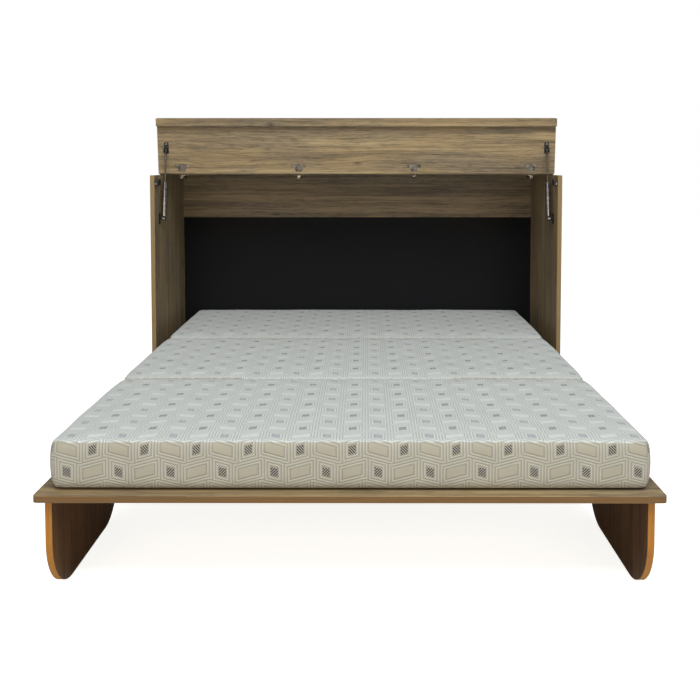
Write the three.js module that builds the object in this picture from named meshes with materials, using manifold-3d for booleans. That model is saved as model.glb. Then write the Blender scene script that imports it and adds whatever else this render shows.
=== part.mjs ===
// Cabinet bed: a low cabinet whose front folds out as a platform for a three-part mattress.
// Millimetres, +Z up, foot of the bed towards -Y. The bed stands open, with its lid raised.
import * as THREE from 'three';
import { mergeVertices } from 'three/addons/utils/BufferGeometryUtils.js';
import Module from 'manifold-3d';

// cabinet
const board = 18;
const cabinetWidth = 1690;
const cabinetDepth = 605;
const sideHeight = 1055;
const deckTop = 277;
const backThickness = 12;
const rearRailHeight = 207;
const gap = 0.3;
const ease = 0.8;

// platforms, hinged on lines just above their top faces
const platformLength = 1478;
const middleEnd = 769;
const footWidth = 1584;
const hingeRise = 1.6;
const hingeSetOut = 0.5;
const knuckleRoom = 2.2;
const footCornerRadius = 12;
const legLength = 600;
const legRadius = 150;
const legSetBack = 20;
const legOuter = 767;

// lid, measured from its hinge line
const lidPivotY = 163;
const lidPivotRise = 9.9;
const lidTail = 4;
const lidLength = 236;
const lipThickness = 33;
const lipDrop = 19;
const lidOpenDegrees = 84;
const topFrontY = 173.5;
const cupHingeXs = [-745, -246, 246, 745];
const cupRadius = 17.5;
const cupY = -20.5;

// gas struts
const strutX = 807;
const strutBase = [80, 873];
const strutReach = 98;
const strutStandOff = 23;
const tubeTop = 152;
const tubeRadius = 11.5;
const rodRadius = 4;
const rodLength = 150;
const studRadius = 4;
const bracketPlate = 2;

// push catches
const plungerRadius = 3;

// mattress
const mattressWidth = 1524;
const mattressLength = 2032;
const mattressBottom = 281;
const mattressTop = 407;
const mattressRear = 585;
const seamGap = 0.6;

const halfWidth = cabinetWidth / 2;
const halfInner = halfWidth - board;
const hingeZ = deckTop + hingeRise;
const footHingeY = -middleEnd - knuckleRoom;
const lidPivotZ = sideHeight + lidPivotRise;
const frameShift = (platformLength - cabinetDepth) / 2;

const colours = {
  oak: 0x8a7556, black: 0x17181c, steel: 0xb9b9b6, nickel: 0xa9a196,
  plastic: 0x141414, fabric: 0xd3d0cb, chrome: 0xd8d8d6,
};

const wasm = await Module();
wasm.setup();

function material(colour, roughness, metalness) {
  return new THREE.MeshStandardMaterial({ color: colours[colour], roughness, metalness });
}
const oak = () => material('oak', 0.55, 0);
const steel = () => material('steel', 0.35, 1);
const nickel = () => material('nickel', 0.3, 1);
const plastic = () => material('plastic', 0.5, 0);

function toSolid(geometry) {
  const bare = geometry.clone();
  bare.deleteAttribute('normal');
  bare.deleteAttribute('uv');
  const merged = mergeVertices(bare, 1e-4);
  return new wasm.Manifold(new wasm.Mesh({
    numProp: 3,
    vertProperties: Float32Array.from(merged.attributes.position.array),
    triVerts: Uint32Array.from(merged.index.array),
  }));
}

function toGeometry(solid) {
  const mesh = solid.getMesh();
  const geometry = new THREE.BufferGeometry();
  geometry.setAttribute('position', new THREE.BufferAttribute(mesh.vertProperties, 3));
  geometry.setIndex(new THREE.BufferAttribute(mesh.triVerts, 1));
  geometry.computeVertexNormals();
  return geometry;
}

function union(...geometries) {
  return toGeometry(geometries.map(toSolid).reduce((whole, next) => whole.add(next)));
}

function cut(geometry, ...tools) {
  return toGeometry(tools.map(toSolid).reduce((whole, next) => whole.subtract(next), toSolid(geometry)));
}

// a mesh whose own origin is the middle of its box, set at that place in its parent
function part(parent, name, geometry, look) {
  geometry.computeBoundingBox();
  const centre = geometry.boundingBox.getCenter(new THREE.Vector3());
  geometry.translate(-centre.x, -centre.y, -centre.z);
  const mesh = new THREE.Mesh(geometry, look);
  mesh.name = name;
  mesh.position.copy(centre);
  parent.add(mesh);
  return mesh;
}

function roundedOutline([u0, u1], [v0, v1], radius) {
  const shape = new THREE.Shape();
  if (radius === 0) {
    shape.setFromPoints([[u0, v0], [u1, v0], [u1, v1], [u0, v1]].map((p) => new THREE.Vector2(...p)));
    return shape;
  }
  const turns = [[u1 - radius, v0 + radius, -1], [u1 - radius, v1 - radius, 0],
    [u0 + radius, v1 - radius, 1], [u0 + radius, v0 + radius, 2]];
  for (const [u, v, quarter] of turns) {
    shape.absarc(u, v, radius, quarter * Math.PI / 2, (quarter + 1) * Math.PI / 2, false);
  }
  shape.closePath();
  return shape;
}

const axes = {
  x: [new THREE.Vector3(0, 1, 0), new THREE.Vector3(0, 0, 1), new THREE.Vector3(1, 0, 0)],
  y: [new THREE.Vector3(0, 0, 1), new THREE.Vector3(1, 0, 0), new THREE.Vector3(0, 1, 0)],
  z: [new THREE.Vector3(1, 0, 0), new THREE.Vector3(0, 1, 0), new THREE.Vector3(0, 0, 1)],
};

// a flat outline made solid along one axis, with eased edges
function slab(shape, [low, high], along, bevel = ease, steps = 1, curveSegments = 8) {
  const geometry = new THREE.ExtrudeGeometry(shape, {
    depth: high - low - 2 * bevel, bevelEnabled: bevel > 0, bevelThickness: bevel,
    bevelSize: bevel, bevelOffset: -bevel, bevelSegments: steps, curveSegments,
  });
  geometry.translate(0, 0, low + bevel);
  return geometry.applyMatrix4(new THREE.Matrix4().makeBasis(...axes[along]));
}

// a board given by its three ranges, its thickness running along one of them
function boardGeometry(x, y, z, along, bevel = ease, radius = 0) {
  const ranges = { x: [y, z, x], y: [z, x, y], z: [x, y, z] }[along];
  return slab(roundedOutline(ranges[0], ranges[1], radius), ranges[2], along, bevel);
}

function block(x, y, z) {
  const geometry = new THREE.BoxGeometry(x[1] - x[0], y[1] - y[0], z[1] - z[0]);
  return geometry.translate((x[0] + x[1]) / 2, (y[0] + y[1]) / 2, (z[0] + z[1]) / 2);
}

// a turned piece: profile points are [radius, distance along the axis]
function turned(profile, along, place, segments = 24) {
  const points = profile.map(([r, h]) => new THREE.Vector2(r, h));
  const geometry = new THREE.LatheGeometry(points, segments);
  if (along === 'x') geometry.rotateZ(-Math.PI / 2);
  if (along === 'z') geometry.rotateX(Math.PI / 2);
  return geometry.translate(...place);
}

function rodBetween(radius, low, high, along, place, segments = 24) {
  return turned([[0, low], [radius, low], [radius, high], [0, high]], along, place, segments);
}

const inner = [-halfInner + gap, halfInner - gap];
const underDeck = deckTop - board - gap;

function buildCabinet(root) {
  const depth = [0, cabinetDepth];
  part(root, 'side_panel_left', boardGeometry([-halfWidth, -halfInner], depth, [0, sideHeight], 'x'), oak());
  part(root, 'side_panel_right', boardGeometry([halfInner, halfWidth], depth, [0, sideHeight], 'x'), oak());
  const rear = [cabinetDepth - board, cabinetDepth];
  const railBottom = sideHeight - rearRailHeight;
  part(root, 'rear_rail', boardGeometry(inner, rear, [railBottom, sideHeight], 'y'), oak());
  const back = [cabinetDepth - backThickness, cabinetDepth];
  const backLook = material('black', 0.6, 0);
  const backHeight = [deckTop + gap, railBottom - gap];
  part(root, 'back_panel', boardGeometry(inner, back, backHeight, 'y', 0.4), backLook);
  const topHeight = [sideHeight + gap, sideHeight + gap + board];
  const topDepth = [topFrontY, cabinetDepth];
  part(root, 'fixed_top', boardGeometry([-halfWidth, halfWidth], topDepth, topHeight, 'z'), oak());

  const deckHeight = [deckTop - board, deckTop];
  const deckDepth = [knuckleRoom, cabinetDepth];
  part(root, 'base_deck', boardGeometry(inner, deckDepth, deckHeight, 'z'), oak());
  part(root, 'base_front_panel', boardGeometry(inner, [2, 2 + board], [0, underDeck], 'y'), oak());
  part(root, 'base_rear_rail', boardGeometry(inner, rear, [0, underDeck], 'y'), oak());
  const between = [2 + board + gap, cabinetDepth - board - gap];
  const halfBoard = [-board / 2, board / 2];
  part(root, 'base_centre_support', boardGeometry(halfBoard, between, [0, underDeck], 'x'), oak());
  for (const [side, sign] of [['left', -1], ['right', 1]]) {
    const faces = [sign * (halfInner - gap), sign * (halfInner - gap - board)].sort((a, b) => a - b);
    const cleat = boardGeometry(faces, between, [underDeck - 40, underDeck], 'x');
    part(root, `deck_cleat_${side}`, cleat, oak());
  }
}

// a push catch: a case on the side panel, and the magnet that slides in its nose
function buildCatch(root, side, sign) {
  const inside = sign * (halfInner - gap);
  const faces = [inside, inside - sign * 15].sort((a, b) => a - b);
  const place = [inside - sign * 5.5, 0, 1020];
  const body = slab(roundedOutline([2, 52], [1012, 1038], 3), faces, 'x', 0.6);
  const socket = rodBetween(plungerRadius + gap, 0, 24, 'y', place, 18);
  part(root, `magnetic_catch_${side}`, cut(body, socket), plastic());
  part(root, `catch_plunger_${side}`, rodBetween(plungerRadius, 0.6, 18, 'y', place, 18), steel());
}

// a butt hinge: the fixed leaf carries the pin, and the moving leaf the two outer knuckles
function buildButtHinge(fixedParent, movingParent, name, x, y) {
  const leaf = 1.2;
  const half = 38;
  const face = deckTop + gap;
  const knuckle = 2.2;
  const middle = 12;
  const fixedSide = block([x - half, x + half], [y + 3, y + 30], [face, face + leaf]);
  const fixedReach = block([x - middle, x + middle], [y, y + 4], [face, face + leaf]);
  const barrel = rodBetween(knuckle, -middle, middle, 'x', [x, y, hingeZ], 14);
  const pin = rodBetween(0.9, -half, half, 'x', [x, y, hingeZ], 8);
  part(fixedParent, `${name}_fixed_leaf`, union(fixedSide, fixedReach, barrel, pin), steel());
  let moving = block([x - half, x + half], [y - 30, y - 3], [face, face + leaf]);
  for (const sign of [-1, 1]) {
    const ends = [sign * (middle + gap), sign * half].sort((a, b) => a - b);
    const reach = block([x + ends[0], x + ends[1]], [y - 4, y], [face, face + leaf]);
    moving = union(moving, reach, rodBetween(knuckle, ends[0], ends[1], 'x', [x, y, hingeZ], 14));
  }
  const bore = rodBetween(1.2, -half - 1, half + 1, 'x', [x, y, hingeZ], 8);
  part(movingParent, `${name}_moving_leaf`, cut(moving, bore), steel());
}

function buildPlatforms(root) {
  const height = [deckTop - board, deckTop];
  const middleDepth = [-middleEnd, -hingeSetOut - knuckleRoom];
  const middle = boardGeometry([-halfWidth, halfWidth], middleDepth, height, 'z');
  part(root, 'middle_platform', middle, oak());

  const footDepth = [-platformLength, footHingeY - knuckleRoom];
  const footX = [-footWidth / 2, footWidth / 2];
  part(root, 'foot_platform', boardGeometry(footX, footDepth, height, 'z', ease, footCornerRadius), oak());
  for (const x of [-600, 0, 600]) {
    const name = { '-600': 'left', 0: 'centre', 600: 'right' }[x];
    buildButtHinge(root, root, `deck_hinge_${name}`, x, -hingeSetOut);
    buildButtHinge(root, root, `foot_hinge_${name}`, x, footHingeY);
  }
  for (const [side, sign] of [['left', -1], ['right', 1]]) {
    buildLeg(root, side, sign);
    const plate = rodBetween(8, 0, 1.5, 'z', [sign * 819, -748, deckTop + gap], 24);
    part(root, `catch_plate_${side}`, plate, steel());
  }
}

// a tall flat leg with its two lower corners swept round, and a batten that fixes it
function buildLeg(root, side, sign) {
  const front = -platformLength + legSetBack;
  const rear = front + legLength;
  const top = underDeck;
  const outline = new THREE.Shape();
  outline.moveTo(front, top);
  outline.lineTo(front, legRadius);
  outline.absarc(front + legRadius, legRadius, legRadius, Math.PI, Math.PI * 1.5, false);
  outline.absarc(rear - legRadius, legRadius, legRadius, Math.PI * 1.5, Math.PI * 2, false);
  outline.lineTo(rear, top);
  outline.closePath();
  const faces = [sign * legOuter, sign * (legOuter - board)].sort((a, b) => a - b);
  part(root, `leg_${side}`, slab(outline, faces, 'x', ease, 1, 24), oak());
  const inside = sign * (legOuter - board - gap);
  const battenX = [inside, inside - sign * 30].sort((a, b) => a - b);
  const batten = boardGeometry(battenX, [front + 120, rear - 60], [top - 30, top], 'x');
  part(root, `leg_batten_${side}`, batten, oak());
}

function buildLid(root) {
  const lid = new THREE.Group();
  lid.position.set(0, lidPivotY, lidPivotZ);
  lid.rotation.x = -lidOpenDegrees * Math.PI / 180;
  root.add(lid);
  const face = board / 2;
  const tip = lidTail - lidLength;
  const lipBack = tip + lipThickness;
  const width = [-halfWidth, halfWidth];
  const panel = boardGeometry(width, [lipBack + gap, lidTail], [-face, face], 'z');
  const cups = cupHingeXs.map((x) => (
    rodBetween(cupRadius + gap, -face - 1, -face + 11.3, 'z', [x, cupY, 0], 28)));
  part(lid, 'lid_panel', cut(panel, ...cups), oak());
  part(lid, 'lid_lip', boardGeometry(width, [tip, lipBack], [-face - lipDrop, face], 'x'), oak());
  cupHingeXs.forEach((x, i) => buildCupHinge(root, lid, i + 1, x));
  for (const [side, sign] of [['left', -1], ['right', 1]]) {
    buildLidBracket(lid, side, sign);
  }
}

// a concealed hinge: the cup and its wings turn with the lid, and the arm stays under the top
function buildCupHinge(root, lid, number, x) {
  const face = -board / 2;
  const cup = rodBetween(cupRadius, face - 1.2, face + 11, 'z', [x, cupY, 0], 28);
  const hollow = block([x - 11.5, x + 11.5], [-31, -9], [face - 3, face + 8]);
  const wingShape = roundedOutline([x - 31, x + 31], [-37, -24], 5);
  const wings = slab(wingShape, [face - 1.2 - gap, face - gap], 'z', 0.3, 1, 4);
  let metal = union(cut(cup, hollow), wings);
  for (const sign of [-1, 1]) {
    const head = rodBetween(3.6, face - 2.6, face - 1, 'z', [x + sign * 24, -30, 0], 18);
    metal = union(metal, head);
  }
  const pivot = rodBetween(1.6, -12, 12, 'x', [x, -12.5, face + 3], 14);
  part(lid, `hinge_cup_${number}`, union(cut(metal, hollow), pivot), nickel());

  const plate = block([x - 8, x + 8], [182, 232], [sideHeight - 4, sideHeight]);
  const foot = block([x - 24, x + 24], [196, 208], [sideHeight - 1.6, sideHeight]);
  const arm = slab(roundedOutline([150, 236], [1038, 1051.5], 3), [x - 6.5, x + 6.5], 'x', 0.6);
  const screw = rodBetween(3.4, 1036.8, 1040, 'z', [x, 214, 0], 18);
  const slot = rodBetween(2.6, 1030, 1044, 'z', [x, 186, 0], 18);
  part(root, `hinge_arm_${number}`, cut(union(plate, foot, arm, screw), slot), nickel());
}

// the black bracket on the lid beside the strut's end, with the screw that holds it
function buildLidBracket(lid, side, sign) {
  const face = -board / 2 - gap;
  const wide = [sign * (strutX - 9), sign * (strutX + 9.8)].sort((a, b) => a - b);
  const plateShape = roundedOutline(wide, [-strutReach - 32, -strutReach + 14], 3);
  const plate = slab(plateShape, [face - bracketPlate, face], 'z', 0.4, 1, 4);
  const cheekX = [sign * (strutX + 6.6), sign * (strutX + 9.8)].sort((a, b) => a - b);
  const cheekShape = roundedOutline([-strutReach - 9, -strutReach + 9], [face - 22, face - 1], 4);
  const cheek = slab(cheekShape, cheekX, 'x', 0.4, 1, 4);
  const hole = rodBetween(2.6, -6, 3, 'z', [sign * strutX, -strutReach - 25, face], 18);
  part(lid, `strut_lid_bracket_${side}`, cut(union(plate, cheek), hole), plastic());
  const screwPlace = [sign * strutX, -strutReach - 25, face - bracketPlate];
  const shank = rodBetween(2.2, -2, bracketPlate - 0.1, 'z', screwPlace, 16);
  const headProfile = [[0, -5.6], [2.6, -5.4], [4.6, -3.4], [4.9, -0.3], [0, -0.3]];
  const head = turned(headProfile, 'z', screwPlace, 24);
  part(lid, `strut_lid_screw_${side}`, union(head, shank), steel());
}

// where a strut's upper end stands, for a lid opened by some angle
function strutEnd(openDegrees) {
  const angle = openDegrees * Math.PI / 180;
  const along = [-Math.cos(angle), Math.sin(angle)];
  const inward = [-Math.sin(angle), -Math.cos(angle)];
  return [
    lidPivotY + strutReach * along[0] + strutStandOff * inward[0] - strutBase[0],
    lidPivotZ + strutReach * along[1] + strutStandOff * inward[1] - strutBase[1],
  ];
}

function buildStrut(root, side, sign) {
  const end = strutEnd(lidOpenDegrees);
  const length = Math.hypot(...end);
  const strut = new THREE.Group();
  strut.position.set(sign * strutX, ...strutBase);
  strut.rotation.x = -Math.atan2(end[0], end[1]);
  root.add(strut);

  const bore = rodRadius + gap;
  const tubeProfile = [[0, 7], [6, 7], [tubeRadius - 1.5, 9], [tubeRadius, 10.5], [tubeRadius, tubeTop - 2],
    [tubeRadius - 2, tubeTop], [bore, tubeTop], [bore, 17], [0, 17]];
  const tube = turned(tubeProfile, 'z', [0, 0, 0], 32);
  const eye = rodBetween(8.5, -5, 5, 'x', [0, 0, 0]);
  const eyeBore = rodBetween(studRadius + gap, -6, 6, 'x', [0, 0, 0]);
  part(strut, `strut_cylinder_${side}`, cut(union(tube, eye), eyeBore), material('steel', 0.15, 1));

  const bottom = length - rodLength;
  const rod = rodBetween(rodRadius, bottom, length - 10, 'z', [0, 0, 0]);
  part(strut, `strut_rod_${side}`, rod, material('chrome', 0.12, 1));
  const socket = rodBetween(5.5, length - 16, length - 4, 'z', [0, 0, 0], 28);
  const head = rodBetween(5.8, -5, 5, 'x', [0, 0, length], 20);
  const clearOfRod = rodBetween(bore, length - 20, length - 10 + gap, 'z', [0, 0, 0]);
  part(strut, `strut_end_${side}`, cut(union(socket, head), clearOfRod), plastic());

  const plateX = [sign * (halfInner - gap), sign * (halfInner - gap - 3)].sort((a, b) => a - b);
  const [baseY, baseZ] = strutBase;
  const plate = slab(roundedOutline([baseY - 12, baseY + 12], [baseZ - 22, baseZ + 22], 4), plateX, 'x', 0.4);
  const reach = [sign * (halfInner - gap - 2), sign * (strutX - 7)].sort((a, b) => a - b);
  const stud = rodBetween(studRadius, reach[0], reach[1], 'x', [0, baseY, baseZ]);
  const collarX = [sign * (strutX - 7), sign * (strutX - 5.4)].sort((a, b) => a - b);
  const collar = rodBetween(5.6, collarX[0], collarX[1], 'x', [0, baseY, baseZ], 24);
  part(root, `strut_side_bracket_${side}`, union(plate, stud, collar), plastic());
}

// three plain cushions end to end; their rounded edges leave a groove at each seam
function buildMattress(root) {
  const third = mattressLength / 3;
  const x = [-mattressWidth / 2, mattressWidth / 2];
  ['rear', 'middle', 'front'].forEach((name, i) => {
    const high = mattressRear - third * i - (i > 0 ? seamGap / 2 : 0);
    const low = mattressRear - third * (i + 1) + (i < 2 ? seamGap / 2 : 0);
    const outline = roundedOutline(x, [low, high], 34);
    const geometry = slab(outline, [mattressBottom, mattressTop], 'z', 16, 3, 6);
    part(root, `mattress_${name}`, geometry, material('fabric', 0.95, 0));
  });
}

const bed = new THREE.Group();
bed.name = 'cabinet_bed';
bed.position.y = frameShift;
buildCabinet(bed);
buildPlatforms(bed);
buildLid(bed);
for (const [side, sign] of [['left', -1], ['right', 1]]) {
  buildStrut(bed, side, sign);
  buildCatch(bed, side, sign);
}
buildMattress(bed);

const group = new THREE.Group();
group.name = 'murphy_bed';
group.add(bed);

export default group;
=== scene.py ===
import math
import bmesh
import bpy
from mathutils import Euler, Matrix, Vector, noise


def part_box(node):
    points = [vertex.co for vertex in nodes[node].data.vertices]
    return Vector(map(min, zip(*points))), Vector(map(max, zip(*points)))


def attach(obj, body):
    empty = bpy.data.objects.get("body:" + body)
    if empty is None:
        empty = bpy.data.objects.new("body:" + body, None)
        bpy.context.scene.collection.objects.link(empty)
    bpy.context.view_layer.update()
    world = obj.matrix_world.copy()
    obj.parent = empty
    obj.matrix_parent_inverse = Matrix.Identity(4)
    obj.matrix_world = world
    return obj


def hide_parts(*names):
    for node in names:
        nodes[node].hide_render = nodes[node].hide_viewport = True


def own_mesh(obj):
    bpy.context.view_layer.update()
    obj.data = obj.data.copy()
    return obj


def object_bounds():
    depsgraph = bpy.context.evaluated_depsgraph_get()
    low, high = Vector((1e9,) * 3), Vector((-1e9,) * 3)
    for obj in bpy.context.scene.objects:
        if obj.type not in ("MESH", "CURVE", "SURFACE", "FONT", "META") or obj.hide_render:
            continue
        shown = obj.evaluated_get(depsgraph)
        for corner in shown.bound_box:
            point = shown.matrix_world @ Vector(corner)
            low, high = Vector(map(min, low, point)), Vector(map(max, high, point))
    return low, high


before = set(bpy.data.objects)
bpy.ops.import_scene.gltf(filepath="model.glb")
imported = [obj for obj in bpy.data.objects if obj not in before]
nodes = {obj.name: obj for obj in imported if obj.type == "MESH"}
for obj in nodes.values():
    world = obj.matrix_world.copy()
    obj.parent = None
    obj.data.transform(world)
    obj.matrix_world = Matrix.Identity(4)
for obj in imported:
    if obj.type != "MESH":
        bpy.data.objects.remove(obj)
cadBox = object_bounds()
print("frame loaded:", len(nodes), "nodes")


def linear(hexColour):
    parts = [int(hexColour[i:i + 2], 16) / 255 for i in (1, 3, 5)]
    return [c / 12.92 if c <= 0.04045 else ((c + 0.055) / 1.055) ** 2.4 for c in parts] + [1.0]


# adds one shader node: links holds sockets, nodes (their first output) or plain values
def addNode(tree, kind, links=None, stops=(), **settings):
    node = tree.nodes.new("ShaderNode" + kind)
    for name, value in settings.items():
        setattr(node, name, value)
    for name, value in (links or {}).items():
        if isinstance(value, bpy.types.Node):
            value = value.outputs[0]
        if isinstance(value, bpy.types.NodeSocket):
            tree.links.new(value, node.inputs[name])
        else:
            node.inputs[name].default_value = value
    if stops:
        ramp = node.color_ramp
        while len(ramp.elements) < len(stops):
            ramp.elements.new(0.5)
        for element, (place, colour) in zip(ramp.elements, stops):
            element.position = place
            element.color = linear(colour) if isinstance(colour, str) else (colour, colour, colour, 1.0)
    return node


# the Mix node's sockets for colours
mixFactor, mixFirst, mixSecond, mixResult = 0, 6, 7, 2
white = "#ffffff"


def newMaterial(name):
    made = bpy.data.materials.new(name)
    made.use_nodes = True
    tree = made.node_tree
    tree.nodes.clear()
    shader = addNode(tree, "BsdfPrincipled")
    addNode(tree, "OutputMaterial", {"Surface": shader})
    return made, tree, shader


# chipboard faced with melamine paper: a printed weathered oak, satin, with pores pressed into it
oak = dict(
    pale="#b19a70", tan="#9f8760", brown="#8a7555", dark="#6d5b43", knot="#33281c", grey="#7c7263",
    streakWidth=0.0024, poreWidth=0.0011, stretch=0.02, bandWidth=0.011, ringSpread=0.07, rings=7.0,
    wavesPerMetre=9.0, bend=0.02, patchesPerMetre=8.0, mostGrey=0.4, knotsPerMetre=17.0, knotless=0.72,
    roughness=0.56, poreDepth=0.00025,
)


def grainSpace(tree, vector, grainAxis, stretch):
    scale = [1.0, 1.0, 1.0]
    scale["xyz".index(grainAxis)] = stretch
    return addNode(tree, "Mapping", {"Vector": vector, "Scale": scale})


def oakLaminate(name, grainAxis, seed=0.0, edging=None, printAxis=None, tintAndPaintedShade=white):
    made, tree, shader = newMaterial(name)
    place = addNode(tree, "TexCoord")
    shifted = addNode(tree, "Mapping", {
        "Vector": place.outputs["Object"], "Location": (seed, seed * 1.7, seed * 0.6)})
    # slow waviness bends every line of the grain a little
    slow = grainSpace(tree, shifted, grainAxis, 0.4)
    waves = addNode(tree, "TexNoise", {"Vector": slow, "Scale": oak["wavesPerMetre"], "Detail": 2.0})
    bent = addNode(tree, "VectorMath", {0: waves.outputs["Color"], 1: (0.5, 0.5, 0.5)}, operation="SUBTRACT")
    bent = addNode(tree, "VectorMath", {0: bent, "Scale": oak["bend"]}, operation="SCALE")
    bent = addNode(tree, "VectorMath", {0: bent, 1: shifted}, operation="ADD")
    grain = grainSpace(tree, bent, grainAxis, oak["stretch"])
    # light and dark bands about a centimetre wide, and greyer weathered patches a hand wide
    bands = addNode(tree, "TexNoise", {
        "Vector": grain, "Scale": 1 / oak["bandWidth"] / 2, "Detail": 5.0, "Roughness": 0.62})
    tone = addNode(tree, "ValToRGB", {"Fac": bands}, stops=[
        (0.3, oak["dark"]), (0.42, oak["brown"]), (0.54, oak["tan"]), (0.7, oak["pale"])])
    patchSpace = grainSpace(tree, shifted, grainAxis, 0.3)
    patches = addNode(tree, "TexNoise", {
        "Vector": patchSpace, "Scale": oak["patchesPerMetre"], "Detail": 3.0, "Roughness": 0.55})
    greying = addNode(tree, "MapRange", {
        "Value": patches, "From Min": 0.46, "From Max": 0.66, "To Min": 0.0, "To Max": oak["mostGrey"]})
    weathered = addNode(tree, "Mix", {
        mixFactor: greying, mixFirst: tone, mixSecond: linear(oak["grey"])}, data_type="RGBA")
    # contour lines of a stretched noise close up as cathedral figures
    ringSpace = grainSpace(tree, bent, grainAxis, 0.1)
    heart = addNode(tree, "TexNoise", {
        "Vector": ringSpace, "Scale": 1 / oak["ringSpread"], "Detail": 2.0, "Roughness": 0.45})
    rings = addNode(tree, "Math", {0: heart, 1: oak["rings"]}, operation="MULTIPLY")
    rings = addNode(tree, "Math", {0: rings, 1: 0.5}, operation="PINGPONG")
    ringTone = addNode(tree, "ValToRGB", {"Fac": rings}, stops=[(0.0, 0.72), (0.12, 0.93), (0.5, 1.0)])
    streaks = addNode(tree, "TexNoise", {
        "Vector": grain, "Scale": 1 / oak["streakWidth"] / 2, "Detail": 5.0, "Roughness": 0.7})
    streakTone = addNode(tree, "ValToRGB", {"Fac": streaks}, stops=[(0.36, 0.62), (0.47, 0.92), (0.62, 1.12)])
    # short dark pores, thick in some places and missing in others
    poreSpace = grainSpace(tree, bent, grainAxis, 0.06)
    pores = addNode(tree, "TexNoise", {
        "Vector": poreSpace, "Scale": 1 / oak["poreWidth"] / 3, "Detail": 2.0, "Roughness": 0.6})
    thickness = addNode(tree, "MapRange", {
        "Value": patches, "From Min": 0.38, "From Max": 0.62, "To Min": 0.02, "To Max": -0.09})
    pores = addNode(tree, "Math", {0: pores, 1: thickness}, operation="ADD")
    poreTone = addNode(tree, "ValToRGB", {"Fac": pores}, stops=[(0.33, 0.62), (0.39, 0.92), (0.44, 1.0)])
    # sparse small knots with a dark middle
    knotSpace = grainSpace(tree, bent, grainAxis, 0.45)
    cells = addNode(tree, "TexVoronoi", {
        "Vector": knotSpace, "Scale": oak["knotsPerMetre"], "Randomness": 1.0})
    pick = addNode(tree, "SeparateColor", {"Color": cells.outputs["Color"]})
    chosen = addNode(tree, "Math", {0: pick, 1: oak["knotless"]}, operation="GREATER_THAN")
    spot = addNode(tree, "ValToRGB", {"Fac": cells.outputs["Distance"]},
                   stops=[(0.03, 0.85), (0.09, 0.4), (0.2, 0.0)])
    knots = addNode(tree, "Math", {0: chosen, 1: spot}, operation="MULTIPLY")
    colour = weathered.outputs[mixResult]
    for layer, strength in ((ringTone, 0.7), (streakTone, 0.95), (poreTone, 0.9)):
        mixed = addNode(tree, "Mix", {
            mixFactor: strength, mixFirst: colour, mixSecond: layer}, data_type="RGBA", blend_type="MULTIPLY")
        colour = mixed.outputs[mixResult]
    knotMix = addNode(tree, "Mix", {
        mixFactor: knots, mixFirst: colour, mixSecond: linear(oak["knot"])}, data_type="RGBA")
    # the whole print is multiplied by a tint: a slight cool cast on the rail and upright boards, and on the
    # legs a brown painted shade that darkens them as the shadow under the platform would
    tintedAndShadedPrint = addNode(tree, "Mix", {
        mixFactor: 1.0, mixFirst: knotMix.outputs[mixResult], mixSecond: linear(tintAndPaintedShade)},
        data_type="RGBA", blend_type="MULTIPLY")
    colour = tintedAndShadedPrint.outputs[mixResult]
    if edging:
        # faces square to printAxis keep the print, and the board's edges wear a warmer ironed-on band
        facing = addNode(tree, "SeparateXYZ", {0: place.outputs["Normal"]})
        turned = addNode(tree, "Math", {0: facing.outputs["XYZ".index(printAxis)]}, operation="ABSOLUTE")
        onEdge = addNode(tree, "Math", {0: turned, 1: 0.6}, operation="LESS_THAN")
        darkBand, paleBand = edging
        band = addNode(tree, "Mix", {
            mixFactor: streaks, mixFirst: linear(darkBand), mixSecond: linear(paleBand)}, data_type="RGBA")
        edgeMix = addNode(tree, "Mix", {
            mixFactor: onEdge, mixFirst: colour, mixSecond: band.outputs[mixResult]}, data_type="RGBA")
        colour = edgeMix.outputs[mixResult]
    tree.links.new(colour, shader.inputs["Base Color"])
    shine = addNode(tree, "MapRange", {
        "Value": streaks, "To Min": oak["roughness"] + 0.1, "To Max": oak["roughness"] - 0.08})
    tree.links.new(shine.outputs[0], shader.inputs["Roughness"])
    relief = addNode(tree, "Math", {0: poreTone, 1: streakTone}, operation="MULTIPLY")
    bump = addNode(tree, "Bump", {"Height": relief, "Distance": oak["poreDepth"], "Strength": 0.7})
    tree.links.new(bump.outputs[0], shader.inputs["Normal"])
    return made


# hardboard with a black foil: nearly matt, a fine pressed tooth and faint cloudy rubbing
blackFoil = dict(low="#050609", high="#0c0d14", tooth=0.0012, cloud=0.22, toothDepth=0.0002, specular=0.22)


def blackFoilBoard():
    made, tree, shader = newMaterial("black_foil_hardboard")
    place = addNode(tree, "TexCoord")
    cloud = addNode(tree, "TexNoise", {
        "Vector": place.outputs["Object"], "Scale": 1 / blackFoil["cloud"], "Detail": 5.0, "Roughness": 0.6})
    tooth = addNode(tree, "TexNoise", {
        "Vector": place.outputs["Object"], "Scale": 1 / blackFoil["tooth"], "Detail": 2.0})
    mixed = addNode(tree, "Math", {0: cloud, 1: tooth, 2: 0.25}, operation="MULTIPLY_ADD")
    tone = addNode(tree, "ValToRGB", {"Fac": mixed}, stops=[
        (0.4, blackFoil["low"]), (0.85, blackFoil["high"])])
    tree.links.new(tone.outputs[0], shader.inputs["Base Color"])
    shine = addNode(tree, "MapRange", {"Value": cloud, "To Min": 0.55, "To Max": 0.75})
    tree.links.new(shine.outputs[0], shader.inputs["Roughness"])
    shader.inputs["Specular IOR Level"].default_value = blackFoil["specular"]
    bump = addNode(tree, "Bump", {"Height": tooth, "Distance": blackFoil["toothDepth"], "Strength": 0.5})
    tree.links.new(bump.outputs[0], shader.inputs["Normal"])
    return made


# a plated metal surface: its roughness wanders, and fine lines run along the axis that stretch picks
plated = dict(lines=0.0006, depth=0.00004, blotchesPerMetre=60.0)


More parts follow.
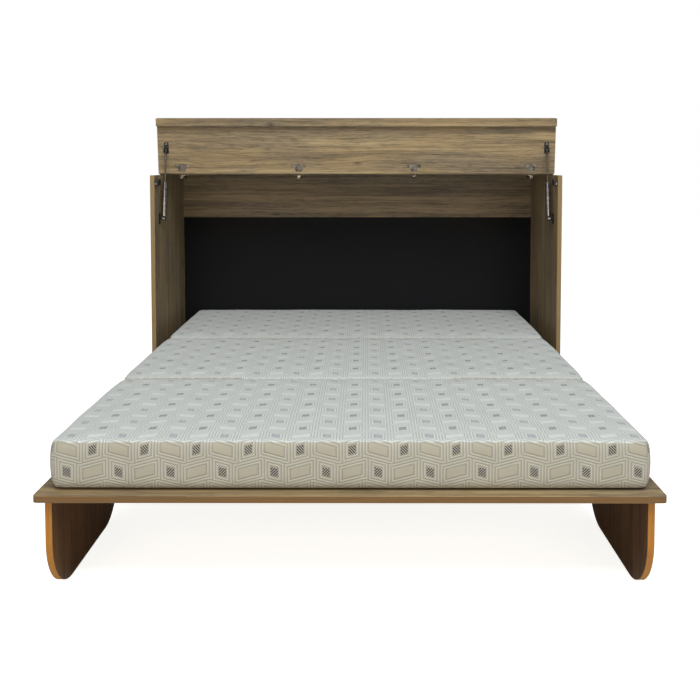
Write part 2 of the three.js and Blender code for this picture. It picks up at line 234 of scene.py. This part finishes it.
def platedMetal(name, low, high, roughness, stretch=(1, 1, 1), wander=0.1):
    made, tree, shader = newMaterial(name)
    place = addNode(tree, "TexCoord")
    drawn = addNode(tree, "Mapping", {"Vector": place.outputs["Object"], "Scale": stretch})
    fine = addNode(tree, "TexNoise", {
        "Vector": drawn, "Scale": 1 / plated["lines"] / 2, "Detail": 4.0, "Roughness": 0.6})
    blotch = addNode(tree, "TexNoise", {
        "Vector": place.outputs["Object"], "Scale": plated["blotchesPerMetre"], "Detail": 3.0})
    tone = addNode(tree, "ValToRGB", {"Fac": blotch}, stops=[(0.32, low), (0.66, high)])
    tree.links.new(tone.outputs[0], shader.inputs["Base Color"])
    mixed = addNode(tree, "Math", {0: fine, 1: blotch}, operation="MULTIPLY")
    shine = addNode(tree, "MapRange", {
        "Value": mixed, "From Min": 0.1, "From Max": 0.45,
        "To Min": roughness - wander, "To Max": roughness + wander})
    tree.links.new(shine.outputs[0], shader.inputs["Roughness"])
    bump = addNode(tree, "Bump", {"Height": fine, "Distance": plated["depth"], "Strength": 0.4})
    tree.links.new(bump.outputs[0], shader.inputs["Normal"])
    shader.inputs["Metallic"].default_value = 1.0
    return made


# glass-filled nylon, moulded: near black, a spark-eroded grain and slightly greyer patches
moulded = dict(low="#0f0f10", high="#222224", grain=0.0008, patchesPerMetre=40.0, grainDepth=0.0001, ior=1.53)


def mouldedNylon():
    made, tree, shader = newMaterial("black_moulded_nylon")
    place = addNode(tree, "TexCoord")
    grain = addNode(tree, "TexNoise", {
        "Vector": place.outputs["Object"], "Scale": 1 / moulded["grain"], "Detail": 2.0})
    cloud = addNode(tree, "TexNoise", {
        "Vector": place.outputs["Object"], "Scale": moulded["patchesPerMetre"], "Detail": 3.0})
    tone = addNode(tree, "ValToRGB", {"Fac": cloud}, stops=[
        (0.35, moulded["low"]), (0.7, moulded["high"])])
    tree.links.new(tone.outputs[0], shader.inputs["Base Color"])
    shine = addNode(tree, "MapRange", {"Value": grain, "To Min": 0.35, "To Max": 0.55})
    tree.links.new(shine.outputs[0], shader.inputs["Roughness"])
    bump = addNode(tree, "Bump", {
        "Height": grain, "Distance": moulded["grainDepth"], "Strength": 0.5})
    tree.links.new(bump.outputs[0], shader.inputs["Normal"])
    shader.inputs["IOR"].default_value = moulded["ior"]
    return made


# double-jersey polyester ticking, knitted with raised outlines round small dark blue hatched squares
ticking = dict(
    pitch=0.131, rowHeight=0.057, zigzag=0.0175, start=0.0565, wideHalf=0.0405, outline=0.0076, deepest=0.019,
    groove=0.0023, squareHalf=0.0089, squareTall=0.84, hatch=0.0072, wale=0.0016, relief=0.0016,
    puffed="#d3d6d2", grooveShade="#b9bab3", blue="#0f1733", faintBlue="#747b8c", border="#e2dacd",
    core="#efebe4", phase=0.205, fluffPerMetre=900.0, mottlesPerMetre=14.0, edgeBlur=0.003, topFrom=0.004,
)


def knittedTicking():
    made, tree, shader = newMaterial("knitted_polyester_ticking")
    flat = addNode(tree, "UVMap", uv_map="cover")
    uv = addNode(tree, "SeparateXYZ", {0: flat})
    u, v = uv.outputs[0], uv.outputs[1]
    across = addNode(tree, "Math", {
        0: u, 1: 1 / ticking["pitch"], 2: ticking["phase"]}, operation="MULTIPLY_ADD")
    zig = addNode(tree, "Math", {0: across, 1: 0.5}, operation="PINGPONG")
    zig = addNode(tree, "Math", {0: zig, 1: -2 * ticking["zigzag"], 2: v}, operation="MULTIPLY_ADD")
    rows = addNode(tree, "Math", {0: zig, 1: ticking["start"]}, operation="ADD")
    rows = addNode(tree, "Math", {0: rows, 1: ticking["rowHeight"]}, operation="DIVIDE")
    row = addNode(tree, "Math", {0: rows}, operation="FLOOR")
    odd = addNode(tree, "Math", {0: row, 1: 2.0}, operation="FLOORED_MODULO")
    inRow = addNode(tree, "Math", {0: rows, 1: row}, operation="SUBTRACT")
    # how far from the middle of the nearest wide cell, and from the cell's upright sides
    turn = addNode(tree, "Math", {0: odd, 1: 0.5, 2: 0.75}, operation="MULTIPLY_ADD")
    cell = addNode(tree, "Math", {0: across, 1: turn}, operation="ADD")
    cell = addNode(tree, "Math", {0: cell}, operation="FRACT")
    cell = addNode(tree, "Math", {0: cell, 1: 0.5}, operation="SUBTRACT")
    cell = addNode(tree, "Math", {0: cell}, operation="ABSOLUTE")
    fromWide = addNode(tree, "Math", {0: cell, 1: ticking["pitch"]}, operation="MULTIPLY")
    side = addNode(tree, "Math", {0: fromWide, 1: ticking["wideHalf"]}, operation="SUBTRACT")
    side = addNode(tree, "Math", {0: side}, operation="ABSOLUTE")
    toRow = addNode(tree, "Math", {0: inRow, 1: 0.5}, operation="PINGPONG")
    toRow = addNode(tree, "Math", {0: toRow, 1: ticking["rowHeight"]}, operation="MULTIPLY")
    edge = addNode(tree, "Math", {0: side, 1: toRow}, operation="MINIMUM")
    edge = addNode(tree, "Math", {0: edge, 1: ticking["deepest"]}, operation="MINIMUM")
    nest = addNode(tree, "Math", {0: edge, 1: ticking["outline"] / 2}, operation="PINGPONG")
    puff = addNode(tree, "MapRange", {
        "Value": nest, "From Min": ticking["groove"] * 0.25, "From Max": ticking["groove"]},
        interpolation_type="SMOOTHSTEP")
    # the hatched square in the middle of each narrow cell
    fromNarrow = addNode(tree, "Math", {0: fromWide, 1: ticking["pitch"] / 2}, operation="SUBTRACT")
    fromNarrow = addNode(tree, "Math", {0: fromNarrow}, operation="ABSOLUTE")
    up = addNode(tree, "Math", {0: inRow, 1: 0.5}, operation="SUBTRACT")
    up = addNode(tree, "Math", {0: up}, operation="ABSOLUTE")
    up = addNode(tree, "Math", {0: up, 1: ticking["rowHeight"] * ticking["squareTall"]}, operation="MULTIPLY")
    reach = addNode(tree, "Math", {0: fromNarrow, 1: up}, operation="MAXIMUM")
    inSquare = addNode(tree, "Math", {0: reach, 1: ticking["squareHalf"]}, operation="LESS_THAN")
    lean = addNode(tree, "Math", {0: odd, 1: -2.0, 2: 1.0}, operation="MULTIPLY_ADD")
    slope = addNode(tree, "Math", {0: v, 1: lean, 2: u}, operation="MULTIPLY_ADD")
    stripe = addNode(tree, "Math", {0: slope, 1: ticking["hatch"] / 2}, operation="PINGPONG")
    stripe = addNode(tree, "MapRange", {
        "Value": stripe, "From Min": ticking["hatch"] * 0.32, "From Max": ticking["hatch"] * 0.22})
    inked = addNode(tree, "Math", {0: stripe, 1: inSquare}, operation="MULTIPLY")
    # yarn: slanting wales about 2 mm apart, coarser than real ones so that they show, and some mottling
    wales = addNode(tree, "TexWave", {
        "Vector": flat, "Scale": 1 / ticking["wale"] / 3.2, "Distortion": 2.0, "Detail": 2.0,
        "Detail Scale": 3.0},
        wave_type="BANDS", bands_direction="DIAGONAL")
    fluff = addNode(tree, "TexNoise", {"Vector": flat, "Scale": ticking["fluffPerMetre"], "Detail": 3.0})
    mottle = addNode(tree, "TexNoise", {"Vector": flat, "Scale": ticking["mottlesPerMetre"], "Detail": 4.0})
    # the grooves between the raised outlines are painted darker than the puffs: painted shade in the grooves
    ground = addNode(tree, "Mix", {
        mixFactor: puff, mixFirst: linear(ticking["grooveShade"]), mixSecond: linear(ticking["puffed"])},
        data_type="RGBA")
    onSide = addNode(tree, "MapRange", {
        "Value": v, "From Min": ticking["edgeBlur"], "From Max": -ticking["edgeBlur"]})
    # the middle of a wide cell on the border is knitted flatter and looks a little darker
    deep = addNode(tree, "MapRange", {
        "Value": edge, "From Min": ticking["deepest"] * 0.82, "From Max": ticking["deepest"] * 0.9})
    deep = addNode(tree, "Math", {0: deep, 1: onSide}, operation="MULTIPLY")
    cored = addNode(tree, "Mix", {
        mixFactor: deep, mixFirst: linear(white), mixSecond: linear(ticking["core"])}, data_type="RGBA")
    ground = addNode(tree, "Mix", {
        mixFactor: 1.0, mixFirst: ground.outputs[mixResult], mixSecond: cored.outputs[mixResult]},
        data_type="RGBA", blend_type="MULTIPLY")
    shade = addNode(tree, "ValToRGB", {"Fac": mottle}, stops=[(0.3, 0.93), (0.7, 1.0)])
    ground = addNode(tree, "Mix", {
        mixFactor: 1.0, mixFirst: ground.outputs[mixResult], mixSecond: shade},
        data_type="RGBA", blend_type="MULTIPLY")
    # the sides round the border are painted darker and warmer than the top: painted shade, as the top takes
    # the light from above and the sides less of it
    paintedSideShade = addNode(tree, "Mix", {
        mixFactor: onSide, mixFirst: linear(white), mixSecond: linear(ticking["border"])},
        data_type="RGBA")
    ground = addNode(tree, "Mix", {
        mixFactor: 1.0, mixFirst: ground.outputs[mixResult], mixSecond: paintedSideShade.outputs[mixResult]},
        data_type="RGBA", blend_type="MULTIPLY")
    # on top every other row of squares is knitted thinner and looks faint
    onTop = addNode(tree, "Math", {0: v, 1: ticking["topFrom"]}, operation="GREATER_THAN")
    thin = addNode(tree, "Math", {0: onTop, 1: odd}, operation="MULTIPLY")
    ink = addNode(tree, "Mix", {
        mixFactor: thin, mixFirst: linear(ticking["blue"]), mixSecond: linear(ticking["faintBlue"])},
        data_type="RGBA")
    cover = addNode(tree, "Mix", {
        mixFactor: inked, mixFirst: ground.outputs[mixResult], mixSecond: ink.outputs[mixResult]},
        data_type="RGBA")
    tree.links.new(cover.outputs[mixResult], shader.inputs["Base Color"])
    height = addNode(tree, "Math", {0: wales.outputs["Fac"], 1: 0.10, 2: puff}, operation="MULTIPLY_ADD")
    height = addNode(tree, "Math", {0: fluff, 1: 0.12, 2: height}, operation="MULTIPLY_ADD")
    bump = addNode(tree, "Bump", {"Height": height, "Distance": ticking["relief"], "Strength": 0.8})
    tree.links.new(bump.outputs[0], shader.inputs["Normal"])
    shader.inputs["Roughness"].default_value = 0.92
    shader.inputs["Sheen Weight"].default_value = 0.25
    shader.inputs["Sheen Roughness"].default_value = 0.5
    return made


def dress(names, made):
    for name in names:
        slots = nodes[name].material_slots
        for slot in slots:
            slot.material = made
        if not slots:
            nodes[name].data.materials.append(made)


legBand = ("#8a530e", "#cc8a28")
sideBand = ("#7a6340", "#9e8456")
platformBand = ("#5e4020", "#866331")
lieOak = oakLaminate("oak_print_melamine_long_grain", "x", edging=platformBand, printAxis="Z")
lidOak = oakLaminate("oak_print_melamine_lid", "x", seed=3.1)
railOak = oakLaminate("oak_print_melamine_rail", "x", seed=7.7, tintAndPaintedShade="#eef2ff")
standOak = oakLaminate(
    "oak_print_melamine_upright_grain", "z", seed=1.3, edging=sideBand, printAxis="X", tintAndPaintedShade="#f2f5ff")
# the legs' brown tint is painted shade: it darkens them as the shadow under the platform would
legOak = oakLaminate(
    "oak_print_melamine_banded_leg_painted_shade", "z", seed=5.2, edging=legBand, printAxis="X", tintAndPaintedShade="#b8967c")
# the hinge nickel is much darker than bare nickel: painted shade standing in for the dark room its surfaces
# reflect
nickel = platedMetal("nickel_plated_pressed_steel", "#57524a", "#a39b8e", 0.24)
zinc = platedMetal("zinc_plated_steel", "#8c8e90", "#b9bbba", 0.38)
# the rod's grey-brown is darker and warmer than bare chrome: a painted reflection of the dark room and the
# brown wood around it
chrome = platedMetal("hard_chrome_ground_rod", "#807c74", "#a39f97", 0.18, wander=0.04, stretch=(1, 1, 0.05))
tube = platedMetal(
    "polished_black_nickel_tube", "#858486", "#b2b1b4", 0.13, wander=0.05, stretch=(1, 1, 0.04))
nylon = mouldedNylon()
foil = blackFoilBoard()
tickingCover = knittedTicking()

dress(["lid_panel", "lid_lip"], lidOak)
dress(["rear_rail", "fixed_top", "base_front_panel", "base_rear_rail"], railOak)
dress(["middle_platform", "foot_platform", "base_deck"], lieOak)
dress(["side_panel_left", "side_panel_right", "base_centre_support"], standOak)
dress(["deck_cleat_left", "deck_cleat_right"], lieOak)
dress(["leg_left", "leg_right", "leg_batten_left", "leg_batten_right"], legOak)
dress(["back_panel"], foil)
for name in nodes:
    if name.startswith(("hinge_cup", "hinge_arm")):
        dress([name], nickel)
    elif name.startswith(("deck_hinge", "foot_hinge", "catch_plate", "catch_plunger", "strut_lid_screw")):
        dress([name], zinc)
    elif name.startswith("strut_rod"):
        dress([name], chrome)
    elif name.startswith("strut_cylinder"):
        dress([name], tube)
    elif name.startswith(("strut_end", "strut_lid_bracket", "strut_side_bracket", "magnetic_catch")):
        dress([name], nylon)
print("materials made and put on")


# a foam section in its fitted cover: starts 1 mm small, is puffed out as cloth, then gets its seams
section = dict(
    inset=0.001, corner=0.03, edge=0.011, voxel=0.0125, pressure=4.0, frames=20, cap=0.005,
    pinch=0.008, pinchReach=0.03, ripple=0.0016, rippleSize=0.16, topRipples=0.3, sideRipples=(5, 2, 1),
    rollDepth=0.006, rollReach=0.022, belly=0.006, sideFrom=0.9, roundingShare=0.29, stowedShare=0.965,
)


def foamBlock(name, low, high):
    bm = bmesh.new()
    size = high - low - Vector((2, 2, 2)) * section["inset"]
    placed = Matrix.Translation((low + high) / 2) @ Matrix.Diagonal((*size, 1))
    bmesh.ops.create_cube(bm, size=1, matrix=placed)
    upright = [e for e in bm.edges if abs(e.verts[0].co.z - e.verts[1].co.z) > 0.01]
    bmesh.ops.bevel(bm, geom=upright, offset=section["corner"], offset_type="OFFSET", affect="EDGES",
                    segments=5, profile=0.5, material=-1)
    rims = [e for e in bm.edges if abs(e.verts[0].co.z - e.verts[1].co.z) < 1e-5
            and len({round(f.normal.z) for f in e.link_faces}) == 2]
    bmesh.ops.bevel(bm, geom=rims, offset=section["edge"], offset_type="OFFSET", affect="EDGES",
                    segments=3, profile=0.5, material=-1)
    mesh = bpy.data.meshes.new(name)
    bm.to_mesh(mesh)
    bm.free()
    made = bpy.data.objects.new(name, mesh)
    bpy.context.scene.collection.objects.link(made)
    return made


def applyModifiers(obj):
    graph = bpy.context.evaluated_depsgraph_get()
    mesh = bpy.data.meshes.new_from_object(obj.evaluated_get(graph))
    obj.modifiers.clear()
    obj.data = mesh


def puffOut(obj):
    remesh = obj.modifiers.new("voxels", "REMESH")
    remesh.mode = "VOXEL"
    remesh.voxel_size = section["voxel"]
    applyModifiers(obj)
    start = [(v.co.copy(), v.normal.copy()) for v in obj.data.vertices]
    cloth = obj.modifiers.new("cloth", "CLOTH")
    cloth.settings.use_pressure = True
    cloth.settings.uniform_pressure_force = section["pressure"]
    cloth.settings.effector_weights.gravity = 0
    cloth.settings.quality = 4
    cloth.settings.tension_stiffness = 30
    cloth.settings.compression_stiffness = 30
    cloth.settings.bending_stiffness = 2
    cloth.collision_settings.use_collision = False
    cloth.point_cache.frame_start = 1
    cloth.point_cache.frame_end = section["frames"]
    for step in range(1, section["frames"] + 1):
        bpy.context.scene.frame_set(step)
    applyModifiers(obj)
    bpy.context.scene.frame_set(1)
    # the foam inside stops the cover from drawing in, and holds it to a few millimetres of crown
    for vertex, (was, outward) in zip(obj.data.vertices, start):
        moved = vertex.co - was
        moved -= outward * min(moved.dot(outward), 0)
        if moved.length > section["cap"]:
            moved *= section["cap"] / moved.length
        vertex.co = was + moved


# draws the ends in at the seams, rolls the top down to them, bellies the sides and ripples the cover
def sewSection(obj, low, high, seams):
    middle = (low + high) / 2
    for vertex in obj.data.vertices:
        p = vertex.co
        for seamY in seams:
            near = math.exp(-abs(p.y - seamY) / section["pinchReach"])
            p.x -= (p.x - middle.x) / (high.x - middle.x) * section["pinch"] * near
            if p.z > middle.z:
                p.z -= section["rollDepth"] * math.exp(-abs(p.y - seamY) / section["rollReach"])
        lift = noise.noise(Vector((p.x, p.y, section["topRipples"])) / section["rippleSize"])
        if p.z > middle.z:
            p.z += section["ripple"] * lift
        side = noise.noise(
            Vector((p.x, p.y, p.z * 2)) / section["rippleSize"] + Vector(section["sideRipples"]))
        if abs(p.x - middle.x) > (high.x - middle.x) * section["sideFrom"]:
            upward = (p.z - middle.z) / (high.z - middle.z)
            belly = math.copysign(section["belly"], p.x - middle.x) * (1 - upward ** 2)
            p.x += section["ripple"] * side + belly
        p.z = max(p.z, low.z)
        p.y = min(max(p.y, low.y if low.y in seams else p.y), high.y if high.y in seams else p.y)


# lays the cover's pattern out flat: the top and the sides meet along the rounded edges
def layPattern(obj, low, high):
    mesh = obj.data
    layer = mesh.uv_layers.new(name="cover")
    turnIn = section["roundingShare"] * (section["edge"] + section["inset"])
    for face in mesh.polygons:
        n = face.normal
        for corner in face.loop_indices:
            p = mesh.vertices[mesh.loops[corner].vertex_index].co
            if abs(n.z) >= max(abs(n.x), abs(n.y)):
                flat = (p.x, p.y - frontEdge - turnIn)
            elif abs(n.y) >= abs(n.x):
                flat = (p.x, p.z - high.z + turnIn)
            else:
                flat = (p.y - frontEdge, p.z - high.z + turnIn)
            layer.data[corner].uv = flat


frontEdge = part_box("mattress_front")[0].y
for name, seams in (("rear", ("low",)), ("middle", ("low", "high")), ("front", ("high",))):
    node = "mattress_" + name
    low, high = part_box(node)
    piece = foamBlock("mattress_section_" + name, low, high)
    puffOut(piece)
    sewSection(piece, low, high, [{"low": low.y, "high": high.y}[s] for s in seams])
    smooth = piece.modifiers.new("finer", "SUBSURF")
    smooth.levels = smooth.render_levels = 1
    applyModifiers(piece)
    layPattern(piece, low, high)
    for face in piece.data.polygons:
        face.use_smooth = True
    piece.data.materials.clear()
    piece.data.materials.append(tickingCover)
    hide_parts(node)
    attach(piece, node)
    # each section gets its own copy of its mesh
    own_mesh(piece)
    print("mattress section", name, "made,", len(piece.data.polygons), "faces")


# plain pale floor, soft light from above and in front, and a white surround
studio = dict(
    floor="#ececea", floorGlow=1.02, floorSize=30.0, floorDrop=0.0005, surround=1.0, ambient=0.26,
    lights=[
        dict(name="overhead_front", place=(0.3, -3.0, 4.4), aim=(0.0, -0.1, 0.4), size=(4.0, 2.4),
             power=205.0, tint="#f4fbff"),
        dict(name="front_fill", place=(-1.8, -5.6, 2.0), aim=(0.0, 0.0, 0.7), size=(2.6, 2.0),
             power=40.0, tint="#ffe9cf"),
        dict(name="front_fill_right", place=(2.4, -5.4, 1.8), aim=(0.0, 0.0, 0.6), size=(2.2, 1.8),
             power=28.0, tint="#ffecd6"),
    ],
)


def aimed(obj, place, aim):
    obj.location = place
    obj.rotation_euler = (Vector(aim) - Vector(place)).to_track_quat("-Z", "Y").to_euler()


def buildStudio():
    bm = bmesh.new()
    bmesh.ops.create_grid(bm, x_segments=1, y_segments=1, size=studio["floorSize"] / 2)
    mesh = bpy.data.meshes.new("studio_floor")
    bm.to_mesh(mesh)
    bm.free()
    floor = bpy.data.objects.new("studio_floor", mesh)
    bpy.context.scene.collection.objects.link(floor)
    floor.location.z = cadBox[0].z - studio["floorDrop"]
    made, tree, shader = newMaterial("pale_painted_floor")
    shader.inputs["Base Color"].default_value = linear(studio["floor"])
    shader.inputs["Roughness"].default_value = 0.9
    shader.inputs["Emission Color"].default_value = linear(studio["floor"])
    seen = addNode(tree, "LightPath")
    glow = addNode(tree, "Math", {
        0: seen.outputs["Is Camera Ray"], 1: studio["floorGlow"]}, operation="MULTIPLY")
    tree.links.new(glow.outputs[0], shader.inputs["Emission Strength"])
    mesh.materials.append(made)
    for light in studio["lights"]:
        lamp = bpy.data.lights.new(light["name"], "AREA")
        lamp.shape = "RECTANGLE"
        lamp.size, lamp.size_y = light["size"]
        lamp.energy = light["power"]
        lamp.color = linear(light["tint"])[:3]
        obj = bpy.data.objects.new(light["name"], lamp)
        bpy.context.scene.collection.objects.link(obj)
        aimed(obj, light["place"], light["aim"])
    world = bpy.data.worlds.new("pale_surround")
    bpy.context.scene.world = world
    world.use_nodes = True
    tree = world.node_tree
    tree.nodes.clear()
    path = addNode(tree, "LightPath")
    strength = addNode(tree, "MapRange", {
        "Value": path.outputs["Is Camera Ray"], "To Min": studio["ambient"], "To Max": studio["surround"]})
    sky = addNode(tree, "Background", {"Color": linear(white), "Strength": strength.outputs[0]})
    addNode(tree, "OutputWorld", {"Surface": sky})
    scene = bpy.context.scene
    scene.view_settings.view_transform = "Standard"
    scene.view_settings.look = "None"
    scene.view_settings.exposure = 0.0


# a camera a little higher than the cabinet's top, almost square on to the foot of the bed
camera = dict(
    place=(0.0403, -3.2222, 1.1042), pitch=2.99, yaw=0.12, lens=45.91, shift=(-0.02, -0.2), clip=(0.05, 60),
)


def buildCamera():
    made = bpy.data.cameras.new("view")
    made.lens = camera["lens"]
    made.shift_x, made.shift_y = camera["shift"]
    made.clip_start, made.clip_end = camera["clip"]
    obj = bpy.data.objects.new("view", made)
    obj.location = camera["place"]
    obj.rotation_euler = Euler((math.radians(90 - camera["pitch"]), 0, math.radians(camera["yaw"])))
    bpy.context.scene.collection.objects.link(obj)
    bpy.context.scene.camera = obj


buildStudio()
buildCamera()
print("studio and camera ready")

bpy.context.view_layer.update()
